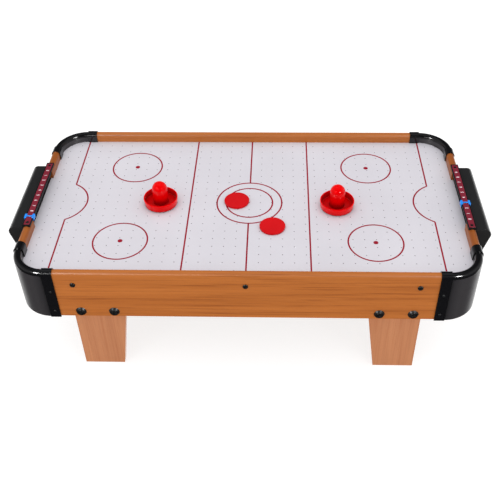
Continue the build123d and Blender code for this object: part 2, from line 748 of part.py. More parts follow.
def fan_impeller():
    """A hub with pitched blades, pressed on the motor shaft."""
    middle_z = WHEEL_LOW + HUB_HEIGHT / 2
    wheel = rod(HUB_RADIUS, (0, 0, WHEEL_LOW), (0, 0, 1), HUB_HEIGHT)
    wheel = fillet(wheel.edges().sort_by(Axis.Z)[-1], HUB_ROUND)
    under = (0, 0, WHEEL_LOW)
    wheel -= bore(HUB_RADIUS - HUB_WALL, under, (0, 0, 1), HUB_HEIGHT / 2)
    wheel += rod(HUB_SLEEVE, (0, 0, WHEEL_LOW + PAST), (0, 0, 1), HUB_HEIGHT - 2 * PAST)
    for k in range(BLADES):
        blade = Box(BLADE_TIP - BLADE_ROOT, BLADE_CHORD, BLADE)
        blade = fillet(blade.edges().filter_by(Axis.Z).sort_by(Axis.X)[-2:], BLADE_ROUND)
        blade = Pos((BLADE_TIP + BLADE_ROOT) / 2, 0, middle_z) * Rot(BLADE_PITCH, 0, 0) * blade
        wheel += Rot(0, 0, 360 / BLADES * k) * blade
    return wheel - bore(SHAFT_RADIUS, under, (0, 0, 1), HUB_HEIGHT + PAST)


def fan_screws():
    made = screw(*DUCT_SCREW)
    z = PANEL_BOTTOM - FAN_WALL
    return group([placed(made, (x, y, z), (0, 0, -1)) for x, y in fan_screw_places()])


# Switch, inlet and leads on the back apron


def switch_block(half_sizes, y0, y1):
    """A block centred on the switch, with half sizes in X and Z."""
    width, height = half_sizes
    return block(SWITCH_X - width, SWITCH_X + width, y0, y1, POWER_Z - height, POWER_Z + height)


def switch_body():
    body = switch_block(SWITCH_FLANGE, HALF_W, HALF_W + SWITCH_RIM)
    body += switch_block(SWITCH_CASE, SWITCH_BACK, HALF_W)
    body -= switch_block(SWITCH_WELL, HALF_W - WELL_DEPTH, HALF_W + SWITCH_RIM + PAST)
    for side in (-1, 1):
        edges = (SWITCH_X + side * TAB_IN, SWITCH_X + side * TAB_OUT)
        y0 = SWITCH_BACK - TAB_LENGTH
        body += block(*edges, y0, SWITCH_BACK, POWER_Z - TAB_HALF, POWER_Z + TAB_HALF)
    return body


def switch_rocker():
    """The rocker, tilted to its off side; it turns about an axis along Z."""
    heel_x, heel_y = ROCKER_HEEL
    points = [
        (-ROCKER_HALF, ROCKER_RISE),
        (0, -ROCKER_DIP),
        (ROCKER_HALF, ROCKER_RISE),
        (heel_x, -heel_y),
        (0, -ROCKER_DEPTH),
        (-heel_x, -heel_y),
    ]
    base = Plane(origin=(0, 0, -ROCKER_HEIGHT / 2), x_dir=(1, 0, 0), z_dir=(0, 0, 1))
    key = extrude(base * make_face(Polyline(points, close=True)), amount=ROCKER_HEIGHT)
    return Pos(SWITCH_X, ROCKER_Y, POWER_Z) * Rot(0, 0, -ROCKER_TILT) * key


def dc_inlet():
    """A round panel socket with a centre pin."""
    out = (0, 1, 0)
    floor_y = HALF_W - JACK_DEPTH
    socket = rod(INLET_RIM, (INLET_X, HALF_W, POWER_Z), out, INLET_RIM_HEIGHT)
    socket += rod(INLET_RADIUS, (INLET_X, INLET_BACK, POWER_Z), out, HALF_W - INLET_BACK)
    socket -= rod(JACK_RADIUS, (INLET_X, floor_y, POWER_Z), out, 2 * JACK_DEPTH)
    return socket + rod(PIN_RADIUS, (INLET_X, floor_y - PAST, POWER_Z), out, JACK_DEPTH)


def inlet_nut():
    nut = extrude(RegularPolygon(INLET_NUT, 6), amount=INLET_NUT_HEIGHT)
    nut -= Cylinder(INLET_RADIUS + FIT, 4 * INLET_NUT_HEIGHT)
    return placed(nut, (INLET_X, INNER_W, POWER_Z), (0, -1, 0))


def motor_lead_route():
    """Centre line of the lead that runs from the switch, under the panel, to the fan duct."""
    high = PANEL_BOTTOM - LEAD_RADIUS
    points = [(SWITCH_X, SWITCH_BACK, POWER_Z), (SWITCH_X, LEAD_DROP_Y, POWER_Z)]
    return points + [(x, y, high - drop) for x, y, drop in LEAD_BENDS]


def inlet_lead_route():
    """Centre line of the short lead from the inlet round to the switch."""
    return [
        (INLET_X, INLET_BACK, POWER_Z),
        (INLET_X, LEAD_TURN_Y, POWER_Z),
        (LEAD_END_X, LEAD_TURN_Y, POWER_Z),
        (LEAD_END_X, SWITCH_BACK, POWER_Z),
    ]


def lead(points):
    """A round lead whose straight runs are joined by bends."""
    path = FilletPolyline(*points, radius=LEAD_BEND)
    first = Vector(*points[1]) - Vector(*points[0])
    section = Plane(origin=points[0], z_dir=first) * Circle(LEAD_RADIUS)
    return sweep(section, path)


def build_all():
    save("front_apron", front_board())
    save("back_apron", back_board())
    mirrored_pair("end_board", end_board())
    moulding = corner_moulding()
    names = ("front_right", "front_left", "back_right", "back_left")
    for name, copy in zip(names, four_ways(moulding)):
        save(name + "_corner", copy)
    names = ("front_left", "front_right", "back_left", "back_right")
    for name, copy in zip(names, four_ways(leg())):
        save(name + "_leg", copy)
    save("playfield", playfield())
    save("bottom_panel", bottom_panel())
    batten = long_batten()
    save("front_batten", batten)
    save("back_batten", flip_y(batten))
    mirrored_pair("end_batten", end_batten())
    mirrored_pair("goal_box", goal_box())
    mirrored_pair("score_bar", score_bar())
    mirrored_pair("score_strip", score_strip())
    save("right_score_slider", score_slider(number_y(1, RIGHT_SCORE)))
    save("left_score_slider", flip_x(score_slider(number_y(-1, LEFT_SCORE))))
    save("apron_screws", apron_screws())
    save("corner_screws", corner_screws())
    save("score_bar_screws", score_bar_screws())
    save("goal_box_screws", goal_box_screws())
    save("bottom_panel_screws", bottom_panel_screws())
    save("leg_washers", leg_hardware(leg_washer(), -HALF_W, -1))
    save("leg_bolts", leg_hardware(leg_bolt(), -HALF_W, -1))
    save("leg_nuts", leg_hardware(leg_nut(), -INNER_W + BOARD, 1))
    for side, spot in (("left", LEFT_PUSHER), ("right", RIGHT_PUSHER)):
        save(side + "_pusher", pusher(spot))
        save(side + "_pusher_felt", pusher_felt(spot))
    save("puck_1", puck(PUCK_1))
    save("puck_2", puck(PUCK_2))
    save("fan_housing", fan_housing())
    save("fan_grille", fan_grille())
    save("fan_motor", fan_motor())
    save("motor_shaft", motor_shaft())
    save("fan_impeller", fan_impeller())
    save("fan_screws", fan_screws())
    save("switch_body", switch_body())
    save("switch_rocker", switch_rocker())
    save("dc_inlet", dc_inlet())
    save("inlet_nut", inlet_nut())
    save("motor_lead", lead(motor_lead_route()))
    save("inlet_lead", lead(inlet_lead_route()))


def mirrored_pair(name, part):
    """Write the right-hand part and its left-hand mirror image."""
    save("right_" + name, part)
    save("left_" + name, flip_x(part))


os.makedirs("parts", exist_ok=True)
build_all()
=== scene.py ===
import json
import math

import bmesh
import bpy
from mathutils import Matrix, Vector
from mathutils.bvhtree import BVHTree


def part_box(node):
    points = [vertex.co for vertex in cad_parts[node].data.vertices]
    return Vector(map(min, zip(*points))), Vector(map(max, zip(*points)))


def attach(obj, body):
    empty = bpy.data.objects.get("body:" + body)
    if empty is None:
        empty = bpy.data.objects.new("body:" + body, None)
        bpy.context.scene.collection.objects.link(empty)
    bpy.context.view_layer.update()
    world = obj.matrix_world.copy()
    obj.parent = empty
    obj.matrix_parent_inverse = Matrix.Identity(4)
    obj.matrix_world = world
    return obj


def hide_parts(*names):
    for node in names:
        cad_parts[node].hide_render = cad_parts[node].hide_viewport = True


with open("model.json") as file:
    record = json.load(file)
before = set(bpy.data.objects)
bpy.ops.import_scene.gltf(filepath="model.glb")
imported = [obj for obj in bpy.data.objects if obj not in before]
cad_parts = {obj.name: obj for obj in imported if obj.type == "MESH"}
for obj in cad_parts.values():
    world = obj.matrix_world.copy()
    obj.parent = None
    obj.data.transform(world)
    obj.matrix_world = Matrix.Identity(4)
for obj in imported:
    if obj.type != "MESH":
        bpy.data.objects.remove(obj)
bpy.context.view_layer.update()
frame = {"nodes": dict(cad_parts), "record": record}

MM = 0.001

# Camera: aimed at a point on the field, in metres and degrees, with its lens in millimetres
CAMERA_AIM = Vector((0.0132, -0.1177, 0.24))
CAMERA_DISTANCE = 1.4464
CAMERA_AZIMUTH = -2.304
CAMERA_ELEVATION = 41.158
CAMERA_ROLL = -1.10
CAMERA_LENS = 54.99
CAMERA_SHIFT = (-0.0087, -0.0177)

# Red markings on the field, measured from its centre
LINE_WIDTH = 3.0 * MM
LINE_HEIGHT = 0.12 * MM
GOAL_LINE_X = 362 * MM
CROSS_LINE_X = 118.8 * MM
CENTRE_RADIUS = 65 * MM
INNER_RADIUS = 46.5 * MM
CREASE_HALF = 57 * MM
CREASE_DEPTH = 34 * MM
SPOT_X = 242.3 * MM
SPOT_Y = 119.5 * MM
SPOT_CIRCLE = 51.9 * MM
SPOT_RADIUS = 4.7 * MM
CIRCLE_STEPS = 96
CENTRE_STEPS = 128
CREASE_STEPS = 40
SPOT_STEPS = 32

# Air holes, as in the CAD playfield
HOLE_PITCH = 22.2 * MM
HOLE_COLUMNS = 18
HOLE_ROWS = 9
HOLE_RADIUS = 0.92 * MM
HOLE_SEGMENTS = 16
HOLE_CUT = 8 * LINE_HEIGHT

# Numbers on the score strips
NUMBER_PITCH = 16.7 * MM
NUMBER_SIZE = 8.0 * MM
NUMBER_HEIGHT = 0.16 * MM
NUMBER_WEIGHT = 0.12 * MM
NUMBER_NARROWING = 0.86
NUMBER_MERGE = 0.0001 * MM
DIGITS = 10
MIDDLE_NUMBER = (DIGITS - 1) / 2

# Softened edges, in metres and degrees
MERGE_DISTANCE = 0.001 * MM
FLAT_ANGLE = 0.4
BEVEL_ANGLE = 32.0
BEVEL_SEGMENTS = 3
SHARP_ANGLE = 40

# The corner mouldings' flanges stand this far out, and their rounded rail is this deep
FLANGE_PROUD = 1.4 * MM
RAIL_DEPTH = 9 * MM

# How far a hollow's walls reach for the shade painted into its colour
PAINTED_SHADE_REACH = 22 * MM
PAINTED_SHADE_SAMPLES = 16

# Surface patterns, cycles in a metre, and how deep their bumps are
PLASTIC_GRAIN = 1400.0
PLASTIC_PATCHES = 22.0
PLASTIC_DEPTH = 0.3 * MM
METAL_DEPTH = 0.1 * MM
WOOD_PORE_DEPTH = 0.2 * MM
LAMINATE_DEPTH = 0.2 * MM
FELT_DEPTH = 0.6 * MM

# Studio
FLOOR_HALF = 6.0
FLOOR_CELLS = 8
FLOOR_GLOW = 0.74
TENT_WHITE = (1.15, 1.15, 1.15)
LIGHT_TARGET = Vector((0, 0, 0.25))

bodies = frame["record"]["behaviour"]["bodies"]
node_body = {node: body for body, nodes in bodies.items() for node in nodes}


# Small helpers


def srgb(red, green, blue):
    """A colour given as 0 to 255, in linear light."""
    values = [channel / 255 for channel in (red, green, blue)]
    return tuple(v / 12.92 if v <= 0.04045 else ((v + 0.055) / 1.055) ** 2.4 for v in values)


def new_object(name, data):
    piece = bpy.data.objects.new(name, data)
    bpy.context.scene.collection.objects.link(piece)
    return piece


def mesh_from(bm, name):
    mesh = bpy.data.meshes.new(name)
    bm.to_mesh(mesh)
    bm.free()
    return mesh


def baked(piece):
    """Apply every modifier of a piece."""
    graph = bpy.context.evaluated_depsgraph_get()
    mesh = bpy.data.meshes.new_from_object(piece.evaluated_get(graph))
    piece.modifiers.clear()
    piece.data = mesh
    return piece


# Materials


def material(name, colour, roughness, **sockets):
    made = bpy.data.materials.new(name)
    made.use_nodes = True
    shader = made.node_tree.nodes["Principled BSDF"]
    shader.inputs["Base Color"].default_value = (*colour, 1)
    shader.inputs["Roughness"].default_value = roughness
    for key, value in sockets.items():
        shader.inputs[key.replace("_", " ")].default_value = value
    return made


def shader_of(made):
    return made.node_tree.nodes["Principled BSDF"]


def add_node(made, kind, **settings):
    node = made.node_tree.nodes.new(kind)
    for key, value in settings.items():
        setattr(node, key, value)
    return node


def link(made, source, target):
    made.node_tree.links.new(source, target)


def noise(made, stretch, detail=4.0, shift=(0, 0, 0), roughness=0.55, warp=0.0):
    """Noise on the object's own coordinates, with a scale for each axis."""
    coordinates = add_node(made, "ShaderNodeTexCoord")
    mapping = add_node(made, "ShaderNodeMapping")
    mapping.inputs["Scale"].default_value = stretch
    mapping.inputs["Location"].default_value = shift
    texture = add_node(made, "ShaderNodeTexNoise")
    texture.inputs["Scale"].default_value = 1.0
    texture.inputs["Detail"].default_value = detail
    texture.inputs["Roughness"].default_value = roughness
    texture.inputs["Distortion"].default_value = warp
    link(made, coordinates.outputs["Object"], mapping.inputs["Vector"])
    link(made, mapping.outputs["Vector"], texture.inputs["Vector"])
    return texture.outputs["Fac"]


def ramp(made, value, stops):
    """Colours along a value, as pairs of position and colour."""
    node = add_node(made, "ShaderNodeValToRGB")
    elements = node.color_ramp.elements
    while len(elements) < len(stops):
        elements.new(0.5)
    for element, (position, colour) in zip(elements, stops):
        element.position = position
        element.color = (*colour, 1)
    link(made, value, node.inputs["Fac"])
    return node.outputs["Color"]


def calculate(made, operation, first, second=None):
    """One sum on a socket; the second value, if any, is a socket or a number."""
    node = add_node(made, "ShaderNodeMath", operation=operation)
    link(made, first, node.inputs[0])
    if isinstance(second, float):
        node.inputs[1].default_value = second
    elif second is not None:
        link(made, second, node.inputs[1])
    return node.outputs[0]


def axes_of(made, vector):
    node = add_node(made, "ShaderNodeSeparateXYZ")
    link(made, vector, node.inputs["Vector"])
    return node.outputs


def choose(made, factor, low, high):
    """The low colour where the factor is 0 and the high one where it is 1, each a colour or a socket."""
    node = add_node(made, "ShaderNodeMix", data_type="RGBA")
    link(made, factor, node.inputs["Factor"])
    for target, value in ((node.inputs[6], low), (node.inputs[7], high)):
        if isinstance(value, tuple):
            target.default_value = (*value, 1)
        else:
            link(made, value, target)
    return node.outputs[2]


def multiply_colours(made, first, second, amount):
    node = add_node(made, "ShaderNodeMix", data_type="RGBA", blend_type="MULTIPLY")
    node.inputs["Factor"].default_value = amount
    link(made, first, node.inputs[6])
    link(made, second, node.inputs[7])
    return node.outputs[2]


def bump(made, height, strength, distance):
    node = add_node(made, "ShaderNodeBump")
    node.inputs["Strength"].default_value = strength
    node.inputs["Distance"].default_value = distance
    link(made, height, node.inputs["Height"])
    link(made, node.outputs["Normal"], shader_of(made).inputs["Normal"])


def paint(made, colour):
    link(made, colour, shader_of(made).inputs["Base Color"])


def vary_roughness(made, value, low, high):
    node = add_node(made, "ShaderNodeMapRange")
    node.inputs["To Min"].default_value = low
    node.inputs["To Max"].default_value = high
    link(made, value, node.inputs["Value"])
    link(made, node.outputs["Result"], shader_of(made).inputs["Roughness"])


def wood(name, grain, tones, shift=0.0, gloss=(0.30, 0.42), fine=340.0, contrast=0.32, coat=0.18):
    """Printed wood grain that runs along one axis: 0 is X, 1 is Y, 2 is Z."""
    dark, middle, light = tones
    made = material(name, middle, 0.4, Specular_IOR_Level=0.32, Coat_Weight=coat, Coat_Roughness=0.12)

    def along(length, width):
        stretch = [width] * 3
        stretch[grain] = length
        return stretch

    move = (shift, shift * 0.7, shift * 1.3)
    broad = noise(made, along(3.0, 55.0), detail=3, shift=move, warp=0.6)
    streaks = noise(made, along(6.5, fine), detail=6, shift=move, roughness=0.62, warp=0.35)
    pores = noise(made, along(50.0, 1300.0), detail=2, shift=move)
    base = ramp(made, broad, [(0.32, dark), (0.50, middle), (0.68, light)])
    shade = 1 - contrast
    deep = (shade, shade * 0.88, shade * 0.80)
    lines = ramp(made, streaks, [(0.34, deep), (0.46, (0.97,) * 3), (0.64, (1.06, 1.05, 1.03))])
    specks = ramp(made, pores, [(0.30, (0.84, 0.80, 0.76)), (0.40, (1, 1, 1))])
    toned = multiply_colours(made, base, lines, 0.85)
    paint(made, multiply_colours(made, toned, specks, 0.6))
    vary_roughness(made, streaks, *gloss)
    bump(made, pores, 0.04, WOOD_PORE_DEPTH)
    return made


def patch_tint(made, patches, colour):
    darker = tuple(channel * 0.92 for channel in colour)
    lighter = tuple(channel * 1.06 for channel in colour)
    return ramp(made, patches, [(0.3, darker), (0.7, lighter)])


def hollow_tint(made, colour, deep):
    """The colour with painted shade: deeper inside hollows, where their walls would shade each other."""
    # Painted shade: ambient occlusion darkens the colour where walls close in
    hollow = add_node(made, "ShaderNodeAmbientOcclusion", samples=PAINTED_SHADE_SAMPLES)
    hollow.inputs["Distance"].default_value = PAINTED_SHADE_REACH
    return ramp(made, hollow.outputs["AO"], [(0.30, deep), (0.72, colour)])


def moulded(name, colour, roughness, grain=PLASTIC_GRAIN, strength=0.05, spread=0.05, deep=None, **sockets):
    """Moulded plastic: a fine texture, an uneven gloss and, if given, painted shade: a deep colour in its
    hollows.
    """
    made = material(name, colour, roughness, **sockets)
    patches = noise(made, (PLASTIC_PATCHES,) * 3, detail=4)
    vary_roughness(made, patches, roughness - spread, roughness + spread)
    paint(made, hollow_tint(made, colour, deep) if deep else patch_tint(made, patches, colour))
    bump(made, noise(made, (grain,) * 3, detail=3), strength, PLASTIC_DEPTH)
    return made


def corner_panel(made):
    """1 on the curved panel of a corner moulding, 0 on its flanges and its rounded rail."""
    coordinates = add_node(made, "ShaderNodeTexCoord")
    place = axes_of(made, coordinates.outputs["Object"])
    tests = (
        ("X", "GREATER_THAN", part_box("front_apron")[1].x + FLANGE_PROUD),
        ("Y", "GREATER_THAN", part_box("right_end_board")[1].y + FLANGE_PROUD),
        ("Z", "LESS_THAN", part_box("front_apron")[1].z - RAIL_DEPTH),
    )
    along_x, along_y, below = [
        calculate(made, beyond, calculate(made, "ABSOLUTE", place[axis]), limit)
        for axis, beyond, limit in tests
    ]
    return calculate(made, "MULTIPLY", calculate(made, "MULTIPLY", along_x, along_y), below)


def corner_turn(made):
    """0 where the surface faces along X or Y, a half midway between them; it places the corner panels'
    painted reflection.
    """
    geometry = add_node(made, "ShaderNodeNewGeometry")
    facing = axes_of(made, geometry.outputs["Normal"])
    return calculate(made, "ABSOLUTE", calculate(made, "MULTIPLY", facing["X"], facing["Y"]))


def corner_plastic():
    """Black plastic: polished on the flanges and rounded rail; semi-gloss on the curved panel, with a
    painted reflection.
    """
    made = material("corner_plastic", (0.008, 0.008, 0.009), 0.16, Specular_IOR_Level=0.4)
    bump(made, noise(made, (PLASTIC_GRAIN,) * 3, detail=3), 0.02, PLASTIC_DEPTH)
    panel = corner_panel(made)
    # Painted reflection: the curved panel lightens where it turns between facing X and Y
    tones = [(0.0, (0.008,) * 3), (0.10, (0.023, 0.021, 0.024)), (0.3, (0.036, 0.033, 0.036))]
    panel_painted_reflection = ramp(made, corner_turn(made), tones)
    paint(made, choose(made, panel, (0.004, 0.004, 0.005), panel_painted_reflection))
    vary_roughness(made, panel, 0.14, 0.34)
    return made


def metal(name, colour, roughness, brushed=(600.0, 600.0, 40.0)):
    """Bare metal, faintly brushed along Z."""
    made = material(name, colour, roughness, Metallic=1.0)
    streaks = noise(made, brushed, detail=4)
    vary_roughness(made, streaks, roughness - 0.08, roughness + 0.12)
    bump(made, streaks, 0.08, METAL_DEPTH)
    return made


def blackened_steel(name, dark, worn):
    """Black oxide on steel, with a grey sheen where it has been handled."""
    made = material(name, (dark,) * 3, 0.34, Metallic=0.4, Specular_IOR_Level=0.4)
    wear = noise(made, (180.0,) * 3, detail=4)
    tint = ramp(made, wear, [(0.35, (dark,) * 3), (0.65, (worn, worn * 1.02, worn * 1.05))])
    paint(made, tint)
    vary_roughness(made, wear, 0.30, 0.42)
    bump(made, wear, 0.05, METAL_DEPTH)
    return made


def field_laminate():
    """White laminate with a faint lilac cast on top; board core in the holes and below."""
    made = material("field_laminate", srgb(208, 205, 212), 0.36, Coat_Weight=0.15, Coat_Roughness=0.2)
    patches = noise(made, (6.0, 6.0, 6.0), detail=5)
    tint = ramp(made, patches, [(0.35, srgb(206, 203, 210)), (0.65, srgb(211, 208, 215))])
    geometry = add_node(made, "ShaderNodeNewGeometry")
    facing = axes_of(made, geometry.outputs["True Normal"])
    upward = calculate(made, "GREATER_THAN", facing["Z"], 0.5)
    paint(made, choose(made, upward, (0.035, 0.022, 0.014), tint))
    vary_roughness(made, patches, 0.32, 0.40)
    bump(made, noise(made, (500.0,) * 3, detail=2), 0.02, LAMINATE_DEPTH)
    return made


def felt_cloth():
    """Black felt with a short nap."""
    made = material("felt_cloth", (0.02, 0.02, 0.02), 0.95, Sheen_Weight=0.6, Sheen_Roughness=0.5)
    fibres = noise(made, (2500.0, 2500.0, 1200.0), detail=5, warp=2.0)
    tint = ramp(made, fibres, [(0.3, (0.008,) * 3), (0.7, (0.05,) * 3)])
    paint(made, tint)
    bump(made, fibres, 0.8, FELT_DEPTH)
    return made


APRON_TONES = (srgb(172, 95, 29), srgb(178, 100, 33), srgb(184, 105, 37))
# Painted shade: the end boards take the apron's wood in darker tones
END_SHADED_TONES = (srgb(144, 75, 22), srgb(152, 82, 26), srgb(160, 89, 31))
LEG_TONES = (srgb(181, 117, 78), srgb(186, 122, 82), srgb(191, 127, 86))
RAW_TONES = (srgb(190, 150, 105), srgb(205, 168, 122), srgb(216, 182, 140))
BOARD_TONES = (srgb(96, 66, 42), srgb(110, 78, 52), srgb(122, 90, 62))

front_wood = wood("front_wood", 0, APRON_TONES)
back_wood = wood("back_wood", 0, APRON_TONES, shift=7.3)
end_wood = wood("end_wood", 1, END_SHADED_TONES, shift=3.1, coat=0.05)
leg_wood = wood("leg_wood", 2, LEG_TONES, fine=460.0, contrast=0.09, coat=0.1)
raw_wood = wood("raw_wood", 0, RAW_TONES, gloss=(0.6, 0.75), contrast=0.25)
raw_end_wood = wood("raw_end_wood", 1, RAW_TONES, gloss=(0.6, 0.75), contrast=0.25)
hardboard = wood("hardboard", 0, BOARD_TONES, gloss=(0.5, 0.65), fine=160.0, contrast=0.15)
laminate = field_laminate()
line_ink = moulded(
    "line_ink", srgb(150, 1, 36), 0.45, grain=500.0, strength=0.01, Specular_IOR_Level=0.15,
)
corner_black = corner_plastic()
box_black = moulded(
    "box_black", (0.0135, 0.0135, 0.0145), 0.42, grain=1100.0, strength=0.14,
    Coat_Weight=0.35, Coat_Roughness=0.16,
)
bar_black = moulded("bar_black", (0.006, 0.006, 0.007), 0.50, strength=0.08, Specular_IOR_Level=0.2)
maroon = moulded("maroon", srgb(128, 20, 44), 0.38, strength=0.05)
number_white = moulded("number_white", srgb(246, 226, 232), 0.45, strength=0.03)
blue = moulded("blue", srgb(22, 138, 240), 0.22, strength=0.03, Specular_IOR_Level=0.4)
pusher_red = moulded(
    "pusher_red", (0.78, 0.0003, 0.0012), 0.22, grain=700.0, strength=0.01, spread=0.03,
    # Painted shade: the pushers' dishes and other hollows take this deeper red
    deep=(0.30, 0.0002, 0.0012),
    Specular_IOR_Level=0.25, Specular_Tint=(0.95, 0.01, 0.02, 1), Coat_Weight=0.18, Coat_Roughness=0.03,
)
puck_red = moulded(
    "puck_red", (0.58, 0.0015, 0.0045), 0.34, grain=700.0, strength=0.015, spread=0.04,
    Specular_IOR_Level=0.3, Specular_Tint=(0.9, 0.03, 0.04, 1), Coat_Weight=0.06, Coat_Roughness=0.25,
)
screw_black = blackened_steel("screw_black", 0.008, 0.028)
bolt_black = blackened_steel("bolt_black", 0.006, 0.022)
zinc = metal("zinc", (0.62, 0.62, 0.60), 0.34)
steel = metal("steel", (0.56, 0.56, 0.57), 0.30)
fan_black = moulded("fan_black", (0.018, 0.018, 0.018), 0.48, strength=0.15)
impeller_black = moulded("impeller_black", (0.03, 0.03, 0.034), 0.35, strength=0.05)
lead_black = moulded("lead_black", (0.016, 0.016, 0.016), 0.55, strength=0.1)
felt = felt_cloth()

CORNERS = [a + b for a in ("front_", "back_") for b in ("left", "right")]
SIDES = ("left_", "right_")
finish_of = {
    "front_apron": front_wood,
    "back_apron": back_wood,
    "front_batten": raw_wood,
    "back_batten": raw_wood,
    "bottom_panel": hardboard,
    "playfield": laminate,
    "leg_bolts": bolt_black,
    "leg_washers": screw_black,
    "apron_screws": screw_black,
    "corner_screws": screw_black,
    "score_bar_screws": screw_black,
    "leg_nuts": zinc,
    "goal_box_screws": zinc,
    "bottom_panel_screws": zinc,
    "fan_screws": zinc,
    "inlet_nut": zinc,
    "fan_motor": steel,
    "motor_shaft": steel,
    "fan_housing": fan_black,
    "fan_grille": fan_black,
    "fan_impeller": impeller_black,
    "switch_body": fan_black,
    "switch_rocker": bar_black,
    "dc_inlet": fan_black,
    "motor_lead": lead_black,
    "inlet_lead": lead_black,
    "puck_1": puck_red,
    "puck_2": puck_red,
}
for corner in CORNERS:
    finish_of[corner + "_corner"] = corner_black
    finish_of[corner + "_leg"] = leg_wood
for side in SIDES:
    finish_of[side + "end_board"] = end_wood
    finish_of[side + "end_batten"] = raw_end_wood
    finish_of[side + "goal_box"] = box_black
    finish_of[side + "score_bar"] = bar_black
    finish_of[side + "score_strip"] = maroon
    finish_of[side + "score_slider"] = blue
    finish_of[side + "pusher"] = pusher_red
    finish_of[side + "pusher_felt"] = felt

for node, source in frame["nodes"].items():
    for slot in source.material_slots:
        slot.material = finish_of[node]


# Pieces that take over a CAD node, with softened edges


def softened(node, width):
    """A copy of a CAD node whose sharp edges are rounded; it stands for the node."""
    bm = bmesh.new()
    bm.from_mesh(frame["nodes"][node].data)
    bmesh.ops.remove_doubles(bm, verts=bm.verts, dist=MERGE_DISTANCE)
    bmesh.ops.dissolve_limit(bm, angle_limit=math.radians(FLAT_ANGLE), verts=bm.verts, edges=bm.edges)
    piece = new_object(node + "_finish", mesh_from(bm, node + "_finish"))
    bevel = piece.modifiers.new("edges", "BEVEL")
    bevel.width = width
    bevel.segments = BEVEL_SEGMENTS
    bevel.limit_method = "ANGLE"
    bevel.angle_limit = math.radians(BEVEL_ANGLE)
    bevel.use_clamp_overlap = True
    baked(piece)
    piece.data.materials.clear()
    piece.data.materials.append(finish_of[node])
    piece.data.set_sharp_from_angle(angle=math.radians(SHARP_ANGLE))
    shading = piece.modifiers.new("shading", "WEIGHTED_NORMAL")
    shading.keep_sharp = True
    baked(piece)
    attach(piece, node_body[node])
    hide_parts(node)
    return piece


edge_radius = {
    "front_apron": 0.4 * MM,
    "back_apron": 0.4 * MM,
    "switch_body": 0.4 * MM,
    "switch_rocker": 0.5 * MM,
    "fan_grille": 0.3 * MM,
}
for corner in CORNERS:
    edge_radius[corner + "_corner"] = 0.5 * MM
    edge_radius[corner + "_leg"] = 0.6 * MM
for side in SIDES:
    edge_radius[side + "goal_box"] = 1.0 * MM
    edge_radius[side + "score_bar"] = 0.5 * MM
    edge_radius[side + "score_strip"] = 0.15 * MM
    edge_radius[side + "score_slider"] = 0.4 * MM
    edge_radius[side + "pusher_felt"] = 0.35 * MM
for node, radius in edge_radius.items():
    softened(node, radius)


# Field markings


def ribbon(bm, points, low, closed=False):
    """A thin raised stripe of the line width along a flat run of points."""
    count = len(points)
    rings = []
    for i, point in enumerate(points):
        before = points[i - 1] if closed or i else point
        after = points[(i + 1) % count] if closed or i < count - 1 else point
        direction = (after - before).normalized()
        side = Vector((-direction.y, direction.x)) * LINE_WIDTH / 2
        ring = []
        for offset, height in ((side, 0), (side, LINE_HEIGHT), (-side, LINE_HEIGHT), (-side, 0)):
            ring.append(bm.verts.new((*(point + offset), low + height)))
        rings.append(ring)
    spans = range(count if closed else count - 1)
    for i in spans:
        first, second = rings[i], rings[(i + 1) % count]
        for k in range(4):
            following = (k + 1) % 4
            bm.faces.new((first[k], first[following], second[following], second[k]))
    if not closed:
        bm.faces.new(rings[0][::-1])
        bm.faces.new(rings[-1])


def arc(centre, radius, start, end, steps):
    turn = (end - start) / steps
    angles = [math.radians(start + turn * i) for i in range(steps + 1)]
    return [Vector((centre[0] + radius * math.cos(a), centre[1] + radius * math.sin(a))) for a in angles]


def disc(bm, centre, radius, low):
    rim = arc(centre, radius, 0, 360, SPOT_STEPS)[:-1]
    bottom = [bm.verts.new((*point, low)) for point in rim]
    top = [bm.verts.new((*point, low + LINE_HEIGHT)) for point in rim]
    bm.faces.new(top)
    bm.faces.new(bottom[::-1])
    for i, point in enumerate(rim):
        following = (i + 1) % len(rim)
        bm.faces.new((bottom[i], bottom[following], top[following], top[i]))


def straight(x, y0, y1):
    return [Vector((x, y0)), Vector((x, y1))]


def marking_outline():
    field_low, field_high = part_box("playfield")
    low = field_high.z
    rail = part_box("front_apron")[1].y
    bm = bmesh.new()
    for side in (-1, 1):
        ribbon(bm, straight(side * CROSS_LINE_X, rail, -rail), low)
        for end in (-1, 1):
            ribbon(bm, straight(side * GOAL_LINE_X, end * CREASE_HALF, -end * rail), low)
            ribbon(bm, arc((side * SPOT_X, end * SPOT_Y), SPOT_CIRCLE, 0, 360, CIRCLE_STEPS)[:-1], low, True)
            disc(bm, (side * SPOT_X, end * SPOT_Y), SPOT_RADIUS, low)
        ribbon(bm, straight(0, side * CENTRE_RADIUS, -side * rail), low)
        radius = (CREASE_HALF**2 + CREASE_DEPTH**2) / (2 * CREASE_DEPTH)
        half = math.degrees(math.asin(CREASE_HALF / radius))
        middle = 180 if side > 0 else 0
        centre = (side * (GOAL_LINE_X - CREASE_DEPTH + radius), 0)
        ribbon(bm, arc(centre, radius, middle - half, middle + half, CREASE_STEPS), low)
    for radius in (CENTRE_RADIUS, INNER_RADIUS):
        ribbon(bm, arc((0, 0), radius, 0, 360, CENTRE_STEPS)[:-1], low, True)
    bmesh.ops.recalc_face_normals(bm, faces=bm.faces)
    return bm, low


def holes_under(bm, low):
    """Cutters for the air holes that a stripe would cover."""
    tree = BVHTree.FromBMesh(bm)
    cutter = bmesh.new()
    for column in range(-HOLE_COLUMNS, HOLE_COLUMNS + 1):
        for row in range(-HOLE_ROWS, HOLE_ROWS + 1):
            place = Vector((column * HOLE_PITCH, row * HOLE_PITCH, low + LINE_HEIGHT))
            if tree.find_nearest(place, 2 * HOLE_RADIUS)[0] is not None:
                spot = Matrix.Translation(place)
                bmesh.ops.create_cone(
                    cutter, cap_ends=True, segments=HOLE_SEGMENTS, radius1=HOLE_RADIUS,
                    radius2=HOLE_RADIUS, depth=HOLE_CUT, matrix=spot,
                )
    return cutter


